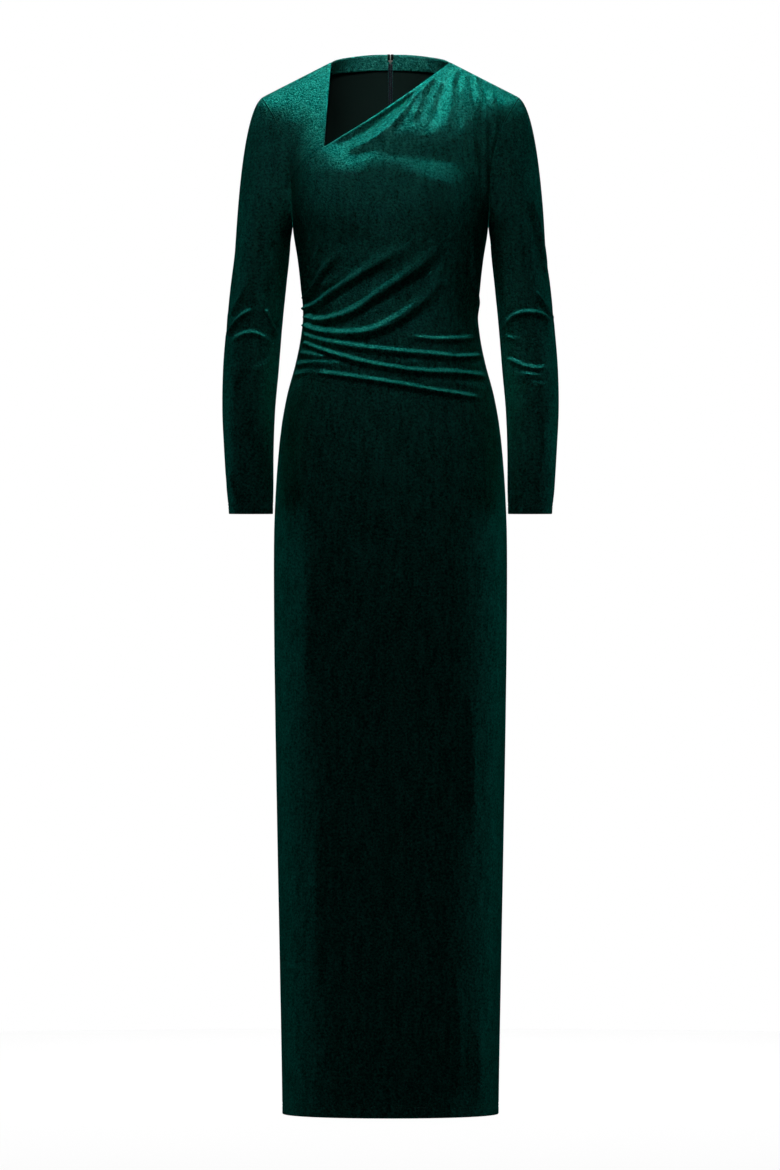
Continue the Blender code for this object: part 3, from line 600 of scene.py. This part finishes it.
front_points, ways = turn_in(front_points, ways, "end", *SEAM_FOLD, SEAM_ALLOWANCE)
front_points, ways = turn_in(front_points, ways, "high", *SEAM_FOLD, SHOULDER_ALLOWANCE)
front_points, ways = turn_in(front_points, ways, "low", *HEM_FOLD, HEM_ALLOWANCE)
velvet_front = lay_cloth("velvet_front", front_points)
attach(velvet_front, "gown")
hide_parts("front")

# Right yoke: a plain shoulder panel between the right armhole and the neck. The front is sewn to its lower
# edge, and its neck edge is turned in with the same soft roll as the front's.
YOKE_NECK_EDGE = (
    # x, y, z
    (-0.0956, -0.089, -0.1240), (-0.0935, -0.075, -0.0900), (-0.0905, -0.053, -0.0530),
    (-0.0880, -0.026, -0.0200), (-0.0860, 0.000, 0.0030),
)
YOKE_CURVE = (1.0, 0.64, 0.36, 0.16, 0.04, 0.0)
YOKE_COLUMNS = 44
YOKE_ROWS = 80
YOKE_FOLDS = (
    # as for the front
    (1.0, 8, 12, 0.40, 0.50, (-112, -22, -118, -70, -128, -118)),
    (0.8, 8, 12, 0.40, 0.50, (-150, -50, -138, -92, -134, -134)),
)
YOKE_FADE = 9 * MM
YOKE_DIP = 1.5 * MM
YOKE_DIP_FADE = 4 * MM

steps = np.linspace(0, 1, YOKE_COLUMNS + 1)
yoke_form = patch(steps, along(yoke_line, YOKE_COLUMNS), shoulder_line(steps, -1)[::-1],
                  armhole(np.linspace(YOKE_KNOT, TIP_KNOT, YOKE_ROWS + 1), -1),
                  bust(along(YOKE_NECK_EDGE, YOKE_ROWS)), YOKE_CURVE)
heights = fold_heights(yoke_form, YOKE_FOLDS)
heights *= edge_fade(yoke_form, ("start", "end", "low", "high"), YOKE_FADE)
heights -= YOKE_DIP * (1 - edge_fade(yoke_form, ("low",), YOKE_DIP_FADE))
yoke_points = yoke_form + outward(yoke_form) * heights[..., None]
ways = outward(yoke_points)
ways[:, 0] = from_hole(yoke_points[:, 0], -1)
yoke_points, ways = turn_in(yoke_points, ways, "start", *SEAM_FOLD, SEAM_ALLOWANCE)
yoke_points, ways = turn_in(yoke_points, ways, "end", *NECK_FOLD, NECK_ALLOWANCE)
yoke_points, ways = turn_in(yoke_points, ways, "low", *SEAM_FOLD, SEAM_ALLOWANCE)
yoke_points, ways = turn_in(yoke_points, ways, "high", *SEAM_FOLD, SEAM_ALLOWANCE)
velvet_yoke = lay_cloth("velvet_yoke_right", yoke_points)
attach(velvet_yoke, "gown")
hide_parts("yoke_right")

# Backs: two halves from the hem to the shoulders, joined down the middle, where the zip is let in above the
# seat. They are smooth over the shoulder blades and drag a little at the waist and seat.
BACK_NECK = (
    # x, y, z
    (0.0, 0.066, 0.0180), (0.025, 0.062, 0.0175), (0.050, 0.050, 0.0145), (0.0755, 0.028, 0.0090),
    NECK_POINT,
)
BACK_NECK_STEPS = 40
CENTRE_BACK = (
    # x, y, z
    (0.0, 0.089, -0.238), (0.0, 0.094, -0.200), (0.0, 0.096, -0.150), (0.0, 0.093, -0.090),
    (0.0, 0.083, -0.035), (0.0, 0.066, 0.0180),
)
BACK_CURVE = (1.0, 0.42, 0.22, 0.15, 0.08, 0.0)
BACK_COLUMNS = 84
BACK_TOP_ROWS = 84
BACK_FADE = 9 * MM
ZIP_NOTCH = 1.5 * MM
ZIP_NOTCH_START = 3 * MM
ZIP_NOTCH_RISE = 4 * MM
ZIP_NOTCH_SPREAD = 8 * MM
ZIP_ALLOWANCE = 2 * MM
BACK_NECK_FOLD = (1.4 * MM, 1.3 * MM)
BACK_NECK_ALLOWANCE = 5 * MM
LEFT_BACK_FOLDS = (
    # as for the front, seen from the front
    (2.0, 8, 12, 0.15, 0.50, (3, -352, 46, -341, 92, -322)),
    (2.4, 7, 12, 0.10, 0.50, (3, -374, 58, -371, 112, -352)),
    (2.2, 7, 12, 0.15, 0.50, (4, -398, 52, -402, 104, -392)),
    (1.8, 8, 13, 0.35, 0.50, (20, -426, 62, -436, 112, -434)),
    (1.8, 10, 14, 0.40, 0.40, (118, -170, 104, -228, 96, -282)),
    (1.4, 10, 14, 0.40, 0.40, (60, -560, 66, -640, 58, -760)),
    (1.5, 14, 18, 0.50, 0.25, (74, -1120, 80, -1330, 82, -1512)),
    (1.3, 14, 16, 0.50, 0.25, (28, -1240, 30, -1512)),
    (1.3, 12, 16, 0.50, 0.30, (124, -980, 126, -1300, 122, -1500)),
)
RIGHT_BACK_FOLDS = (
    (2.2, 8, 12, 0.12, 0.50, (-3, -346, -52, -332, -98, -306)),
    (2.4, 7, 12, 0.10, 0.45, (-3, -367, -60, -362, -122, -338)),
    (2.2, 7, 12, 0.12, 0.45, (-3, -389, -56, -393, -124, -380)),
    (1.8, 8, 12, 0.25, 0.50, (-12, -414, -66, -424, -128, -420)),
    (1.6, 10, 14, 0.40, 0.40, (-124, -176, -110, -236, -104, -296)),
    (1.4, 12, 15, 0.40, 0.40, (-48, -575, -54, -660, -44, -800)),
    (1.6, 14, 18, 0.50, 0.25, (-62, -1090, -68, -1310, -70, -1512)),
    (1.2, 14, 16, 0.50, 0.30, (-104, -1160, -108, -1360, -112, -1512)),
    (1.3, 12, 16, 0.50, 0.40, (-22, -1000, -20, -1240)),
)

back_shares = crowded(BACK_COLUMNS, COLUMN_CROWDING)
neck_half = back_shares <= 0.5
back_neck_line = between(back_shares[neck_half] * 2, np.linspace(0, 1, BACK_NECK_STEPS + 1),
                         along(BACK_NECK, BACK_NECK_STEPS))
back_top_line = np.concatenate((back_neck_line, shoulder_line(back_shares[~neck_half] * 2 - 1, 1)))
back_form = torso(front_levels, math.pi / 2 * (1 - back_shares))
rise = np.linspace(0, 1, BACK_TOP_ROWS + 1)
centre_edge = read(CENTRE_BACK, rise * (len(CENTRE_BACK) - 1))
armhole_edge = armhole(2 * TIP_KNOT - rise * TIP_KNOT, 1)
back_top = patch(back_shares, back_form[-1], back_top_line, centre_edge, armhole_edge, BACK_CURVE)
back_form = np.concatenate((back_form, back_top[1:]))
notch = ZIP_NOTCH * ease((back_form[:, :1, 2] - ZIP_NOTCH_START) / ZIP_NOTCH_RISE)
back_form[..., 0] += notch * np.exp(-np.abs(back_form[..., 0]) / ZIP_NOTCH_SPREAD)
for name, side, folds in (("left", 1, LEFT_BACK_FOLDS), ("right", -1, RIGHT_BACK_FOLDS)):
    form = back_form[:, ::-1] if side == 1 else back_form * (-1, 1, 1)
    middle, outer = ("end", "start") if side == 1 else ("start", "end")
    heights = fold_heights(form, folds) * edge_fade(form, ("start", "end", "high"), BACK_FADE)
    heights -= stitch_groove(front_levels, HEM, len(form))
    points = form + outward(form) * heights[..., None]
    hem_lines += [points[row] for row in STITCHED_STEPS]
    ways = outward(points)
    column = 0 if outer == "start" else -1
    ways[underarm:, column] = from_hole(points[underarm:, column], side)
    points, ways = turn_in(points, ways, outer, *SEAM_FOLD, SEAM_ALLOWANCE)
    points, ways = turn_in(points, ways, middle, *SEAM_FOLD, ZIP_ALLOWANCE)
    points, ways = turn_in(points, ways, "high", *BACK_NECK_FOLD, BACK_NECK_ALLOWANCE)
    points, ways = turn_in(points, ways, "low", *HEM_FOLD, HEM_ALLOWANCE)
    velvet_back = lay_cloth(f"velvet_back_{name}", points)
    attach(velvet_back, "gown")
    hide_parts(f"back_{name}")

# Sleeves: long set-in sleeves with one seam under the arm, bent a little forward at the elbow, where they
# crease, and finished at the wrist with a narrow turned hem.
SLEEVE_SECTIONS = (
    # level, x, y, half width, half depth
    (-0.2620, 0.1851, 0.008, 0.0400, 0.0470),
    (-0.3277, 0.1921, 0.009, 0.0406, 0.0450),
    (-0.3857, 0.1979, 0.007, 0.0407, 0.0445),
    (-0.4437, 0.2023, -0.004, 0.0406, 0.0415),
    (-0.5017, 0.2052, -0.016, 0.0385, 0.0375),
    (-0.5597, 0.2048, -0.028, 0.0360, 0.0335),
    (-0.6177, 0.2030, -0.039, 0.0341, 0.0305),
    (-0.6532, 0.2015, -0.046, 0.0320, 0.0285),
)
CUFF = -653.2 * MM
CAP_START = (0.80, 0.0, -0.60)
CAP_UNDER = (0.10, 0.0, -1.00)
CAP_START_PULL = 0.45
CAP_END_PULL = 0.90
CAP_ROWS = 34
SLEEVE_COLUMNS = 150
SLEEVE_CROWDING = 0.3
FOREARM_FROM = 22 * MM
FOREARM_ROWS = 45
ELBOW_FROM = -475 * MM
ELBOW_TO = -285 * MM
ELBOW_ROWS = 119
UPPER_ARM_ROWS = 8
RIGHT_FRONT_CREASES = (
    # as for the front; the right sleeve is at -x
    (6.0, 3.2, 4.0, 0.12, 0.40, (-236, -394, -226, -376, -211, -362, -194, -353)),
    (5.4, 3, 3.6, 0.20, 0.25, (-180, -354, -175, -371, -164, -395)),
    (4.8, 3, 4.5, 0.20, 0.50, (-233, -366, -221, -345, -209, -320, -200, -288)),
    (3.8, 3.5, 4.5, 0.25, 0.30, (-232, -404, -214, -392, -196, -390, -172, -404)),
    (1.8, 5, 6, 0.40, 0.40, (-170, -420, -186, -438, -208, -448)),
    (2.8, 4, 5, 0.25, 0.40, (-232, -590, -228, -615, -222, -636)),
    (1.8, 5, 8, 0.40, 0.40, (-230, -430, -226, -520)),
    (2.0, 5, 6, 0.40, 0.40, (-178, -210, -184, -290)),
)
LEFT_FRONT_CREASES = (
    (5.2, 3, 3.6, 0.25, 0.20, (208, -326, 225, -352, 235, -370)),
    (4.2, 3.5, 4.5, 0.20, 0.18, (164, -382, 179, -364, 202, -359, 222, -364, 234, -378)),
    (2.4, 4, 5, 0.30, 0.40, (166, -395, 190, -399)),
    (3.8, 3.5, 4.5, 0.20, 0.30, (168, -424, 189, -436, 212, -441, 230, -436)),
    (5.0, 2.8, 3.2, 0.30, 0.30, (204, -189, 219, -255, 226, -315)),
    (2.2, 4, 5, 0.40, 0.40, (184, -448, 222, -453)),
    (1.8, 4, 5, 0.40, 0.40, (200, -462, 227, -466)),
    (1.8, 5, 8, 0.40, 0.40, (224, -500, 216, -600)),
    (2.0, 5, 7, 0.40, 0.40, (186, -215, 182, -300)),
)
RIGHT_BACK_CREASES = (
    (2.2, 6, 9, 0.35, 0.35, (-162, -330, -182, -352, -210, -358)),
    (2.4, 6, 9, 0.30, 0.35, (-232, -362, -208, -378, -176, -380)),
    (1.8, 6, 9, 0.35, 0.40, (-166, -404, -188, -416, -214, -412)),
    (1.4, 8, 12, 0.40, 0.40, (-176, -200, -184, -262)),
)
LEFT_BACK_CREASES = (
    (2.4, 6, 9, 0.35, 0.35, (164, -338, 186, -350, 216, -346)),
    (2.2, 6, 9, 0.30, 0.35, (234, -372, 206, -384, 172, -378)),
    (1.8, 6, 9, 0.35, 0.40, (168, -412, 192, -420, 218, -410)),
    (1.4, 8, 12, 0.40, 0.40, (178, -196, 188, -258)),
)
CREASES_TURN = 1.6
CUFF_FADE = 20 * MM
CAP_FADE = 15 * MM
SLEEVE_SEAM = (0.7 * MM, 1.6 * MM)
SLEEVE_SINK = 0.4 * MM
SLEEVE_SINK_FADE = 14 * MM
SLEEVE_FOLD = (0.4 * MM, 0.6 * MM)
CUFF_ALLOWANCE = 17 * MM


def tube_ways(points):
    """The way out of the cloth of a closed sleeve."""
    wide = np.concatenate((points[:, -3:-1], points, points[:, 1:3]), axis=1)
    return outward(wide)[:, 2:-2]


sleeve_levels = np.concatenate((
    CUFF + hem_steps[:-2],
    np.linspace(CUFF + FOREARM_FROM, ELBOW_FROM, FOREARM_ROWS + 1),
    np.linspace(ELBOW_FROM, ELBOW_TO, ELBOW_ROWS + 1)[1:],
    np.linspace(ELBOW_TO, SLEEVE_SECTIONS[0][0], UPPER_ARM_ROWS + 1)[1:],
))
around = crowded(SLEEVE_COLUMNS, SLEEVE_CROWDING)
angles = math.pi * (1 + 2 * around)
x, y, half_width, half_depth = read_levels(SLEEVE_SECTIONS, sleeve_levels)
arm = np.stack((x + half_width * np.cos(angles), y + half_depth * np.sin(angles),
                sleeve_levels[:, None] + 0 * angles), -1)

# The cap runs from the armhole to the arm's top row, on curves that leave the shoulder outwards.
start, end = armhole(around * 2 * TIP_KNOT, 1), arm[-1]
length = np.linalg.norm(end - start, axis=-1, keepdims=True)
beneath = ((1 + np.cos(2 * math.pi * around)) / 2)[:, None]
leave = unit((1 - beneath) * np.array(CAP_START) + beneath * np.array(CAP_UNDER)) * length * CAP_START_PULL
arrive = unit(arm[-2] - arm[-1]) * length * CAP_END_PULL
share = np.linspace(0, 1, CAP_ROWS + 1)[:-1, None, None]
rise = ease(share)
cap = start * (1 - rise) + end * rise + leave * share * (1 - share) ** 2 - arrive * share ** 2 * (1 - share)
sleeve_form = np.concatenate((arm, cap[::-1]))
cuff_lines = []
for name, side, front_creases, back_creases in (("left", 1, LEFT_FRONT_CREASES, LEFT_BACK_CREASES),
                                                ("right", -1, RIGHT_FRONT_CREASES, RIGHT_BACK_CREASES)):
    form = sleeve_form if side == 1 else sleeve_form[:, ::-1] * (-1, 1, 1)
    ways = tube_ways(form)
    facing_front = ease(0.5 - CREASES_TURN * ways[..., 1])
    heights = (fold_heights(form, front_creases) * facing_front
               + fold_heights(form, back_creases) * (1 - facing_front))
    heights *= edge_fade(form, ("low",), CUFF_FADE) * edge_fade(form, ("high",), CAP_FADE)
    seam_away = np.linalg.norm(form - form[:, :1], axis=-1)
    heights -= SLEEVE_SEAM[0] * np.exp(-(seam_away / SLEEVE_SEAM[1]) ** 2)
    heights -= stitch_groove(sleeve_levels, CUFF, len(form))
    heights -= SLEEVE_SINK * (1 - edge_fade(form, ("high",), SLEEVE_SINK_FADE))
    points = form + ways * heights[..., None]
    cuff_lines += [points[row] for row in STITCHED_STEPS]
    ways = tube_ways(points)
    ways[-1] = from_hole(points[-1], side)
    points, ways = turn_in(points, ways, "high", *SLEEVE_FOLD, SEAM_ALLOWANCE)
    points, ways = turn_in(points, ways, "low", *HEM_FOLD, CUFF_ALLOWANCE)
    velvet_sleeve = lay_cloth(f"velvet_sleeve_{name}", points, closed=True)
    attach(velvet_sleeve, "gown")
    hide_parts(f"sleeve_{name}")

# Back-neck facing: a band of velvet sewn inside the back neck, with its pile turned to the wearer. It ends
# beside the zip, and its lower edge hangs free.
FACING_DEPTH = 24 * MM
FACING_TOP = 1.5 * MM
FACING_ROWS = 14
FACING_INSIDE = 3.4 * MM
FACING_START = 3.5 * MM
FACING_START_FADE = 30 * MM
FACING_ALLOWANCE = 4 * MM
FACING_EDGE = (0.5 * MM, 0.5 * MM)
FACING_WALL = 0.8 * MM

inward = outward(back_form)
columns = int(neck_half.sum())
band = back_form[-FACING_ROWS:, :columns][::-1]
band_inside = band + inward[-FACING_ROWS:, :columns][::-1] * FACING_INSIDE
gone = run_along(band)
depths = np.linspace(FACING_DEPTH, FACING_TOP, FACING_ROWS + 1)
band = np.stack([between(depths, gone[:, column], band_inside[:, column])
                 for column in range(columns)], axis=1)
band[..., 0] += FACING_START * np.clip(1 - band[..., 0] / FACING_START_FADE, 0, 1)
for name, side in (("left", 1), ("right", -1)):
    points = band if side == 1 else band[:, ::-1] * (-1, 1, 1)
    ways = outward(points)
    for edge in ("low", "high", "start", "end"):
        points, ways = turn_in(points, ways, edge, *FACING_EDGE, FACING_ALLOWANCE, arcs=2)
    facing = lay_cloth(f"neck_facing_{name}", points, FACING_WALL)
    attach(facing, "gown")
    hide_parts(f"facing_{name}")

# Zip: an invisible zip down the centre back to the seat. Two woven tapes lie inside the turned seam edges,
# and between them runs a nylon coil of small teeth, which close one over the other. The slider at the top and
# its pull are cast metal with a satin nickel finish.
TAPE_FROM = -560 * MM
TAPE_TO = 4 * MM
TAPE_EDGES = (0.15 * MM, 3.1 * MM)
TAPE_INSIDE = 3.3 * MM
TAPE_WALL = 0.5 * MM
TAPE_ROWS = 190
TAPE_COLUMNS = 4
RIBS_SCALE = 330.0
RIBS_DEPTH = 0.2 * MM
TOOTH_PITCH = 1.3 * MM
TOOTH_SIZE = (1.5 * MM, 0.45 * MM, 0.5 * MM)
TOOTH_SHIFT = 0.7 * MM
COIL_FROM = TAPE_FROM + 4 * MM
TAPE_DARK = (0.0035, 0.010, 0.016, 1)
TAPE_LIGHT = (0.010, 0.027, 0.042, 1)
COIL_COLOUR = (0.006, 0.018, 0.028, 1)
METAL_DARK = (0.66, 0.58, 0.55, 1)
METAL_LIGHT = (0.95, 0.87, 0.83, 1)
GRAIN_RANGE = (0.3, 0.7)
GRAIN_DRAWN = (900.0, 900.0, 5000.0)
GRAIN_DEPTH = 0.1 * MM

tape_cloth = new_material("woven_zip_tape", Roughness=0.75)
place = add_node(tape_cloth, "ShaderNodeTexCoord").outputs["Object"]
ribs = add_node(tape_cloth, "ShaderNodeTexWave", Vector=place, Scale=RIBS_SCALE, Distortion=0.6)
ribs.bands_direction = "Z"
yarn = two_tones(tape_cloth, ribs.outputs["Fac"], (TAPE_DARK, TAPE_LIGHT), (0, 1))
weave = add_node(tape_cloth, "ShaderNodeBump", Height=ribs.outputs["Fac"], Strength=0.5, Distance=RIBS_DEPTH)
finish(tape_cloth, Base_Color=yarn, Normal=weave.outputs["Normal"])

nylon = new_material("nylon_coil", Base_Color=COIL_COLOUR, Roughness=0.35)

metal = new_material("satin_nickel", Metallic=0.60, Roughness=0.50)
place = add_node(metal, "ShaderNodeTexCoord").outputs["Object"]
drawn = add_node(metal, "ShaderNodeMapping", Vector=place, Scale=GRAIN_DRAWN).outputs["Vector"]
grain = add_node(metal, "ShaderNodeTexNoise", Vector=drawn, Scale=1.0, Detail=3.0)
brushed = two_tones(metal, grain.outputs["Fac"], (METAL_DARK, METAL_LIGHT), GRAIN_RANGE)
scratches = add_node(metal, "ShaderNodeBump", Height=grain.outputs["Fac"], Strength=0.3, Distance=GRAIN_DEPTH)
finish(metal, Base_Color=brushed, Normal=scratches.outputs["Normal"])
for node in ("zip_slider", "zip_pull"):
    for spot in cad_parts[node].material_slots:
        spot.material = metal

centre = back_form[:, 0] * (0, 1, 1)
into = inward[:, 0] * (0, 1, 1)


def inside_centre(levels, depth):
    """Points at levels on the centre-back line, a depth inside the velvet's face."""
    line = centre + into * depth
    return between(levels, line[:, 2], line)


levels = np.linspace(TAPE_FROM, TAPE_TO, TAPE_ROWS + 1)
for name, side in (("left", 1), ("right", -1)):
    across = side * np.linspace(*TAPE_EDGES, TAPE_COLUMNS + 1)[::-side, None] * (1, 0, 0)
    points = inside_centre(levels, TAPE_INSIDE)[:, None] + across
    tape = lay_cloth(f"woven_tape_{name}", points, TAPE_WALL)
    tape.data.materials.clear()
    tape.data.materials.append(tape_cloth)
    tape.modifiers["wall"].material_offset = 0
    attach(tape, "gown")
    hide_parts(f"zip_tape_{name}")


def string_beads(name, middles, turns, size, material):
    """One object of many small rounded beads, each at its middle and turned to three rows of its own."""
    bead = bmesh.new()
    bmesh.ops.create_uvsphere(bead, u_segments=6, v_segments=4, radius=1)
    shape = np.array([vertex.co for vertex in bead.verts]) * size
    corners = [[vertex.index for vertex in face.verts] for face in bead.faces]
    bead.free()
    points = (shape @ turns + middles[:, None]).reshape(-1, 3)
    mesh = bpy.data.meshes.new(name)
    mesh.from_pydata(points.tolist(), [], [[corner + step * len(shape) for corner in face]
                                           for step in range(len(middles)) for face in corners])
    mesh.shade_smooth()
    mesh.materials.append(material)
    piece = bpy.data.objects.new(name, mesh)
    bpy.context.scene.collection.objects.link(piece)
    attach(piece, "gown")
    return piece


teeth = inside_centre(np.arange(COIL_FROM, TAPE_TO, TOOTH_PITCH), TAPE_INSIDE + TAPE_WALL + TOOTH_SIZE[1])
teeth[::2, 0] -= TOOTH_SHIFT
teeth[1::2, 0] += TOOTH_SHIFT
upright = np.broadcast_to(np.eye(3), (len(teeth), 3, 3))
string_beads("zip_coil", teeth, upright, TOOTH_SIZE, nylon)

# Stitches: the turned hems at the cuffs and at the foot are each held by two rows of twin-needle stitches in
# thread of the velvet's own colour.
STITCH_PITCH = 3.1 * MM
STITCH_SIZE = (1.25 * MM, 0.22 * MM, 0.22 * MM)
STITCH_SINK = 0.05 * MM
STITCH_AHEAD = 0.1 * MM
THREAD_COLOUR = (0.015, 0.150, 0.125, 1)
TWIST_SCALE = 3000.0
TWIST_DEPTH = 0.2 * MM

thread = new_material("stitch_thread", Base_Color=THREAD_COLOUR, Roughness=0.45)
place = add_node(thread, "ShaderNodeTexCoord").outputs["Object"]
twist = add_node(thread, "ShaderNodeTexNoise", Vector=place, Scale=TWIST_SCALE)
lay = add_node(thread, "ShaderNodeBump", Height=twist.outputs["Fac"], Strength=0.6, Distance=TWIST_DEPTH)
finish(thread, Normal=lay.outputs["Normal"])
for name, lines in (("hem_stitches", hem_lines), ("cuff_stitches", cuff_lines)):
    middles, turns = [], []
    for line in lines:
        run = run_along(line)
        places = np.arange(0.5, run[-1] / STITCH_PITCH - 0.5) * STITCH_PITCH
        middle = between(places, run, line)
        onward = unit(between(places + STITCH_AHEAD, run, line) - middle)
        out = unit(np.cross(onward, (0, 0, 1)))
        middles.append(middle - out * STITCH_SINK)
        turns.append(np.stack((onward, out, np.cross(onward, out)), axis=1))
    stitches = string_beads(name, np.concatenate(middles), np.concatenate(turns), STITCH_SIZE, thread)
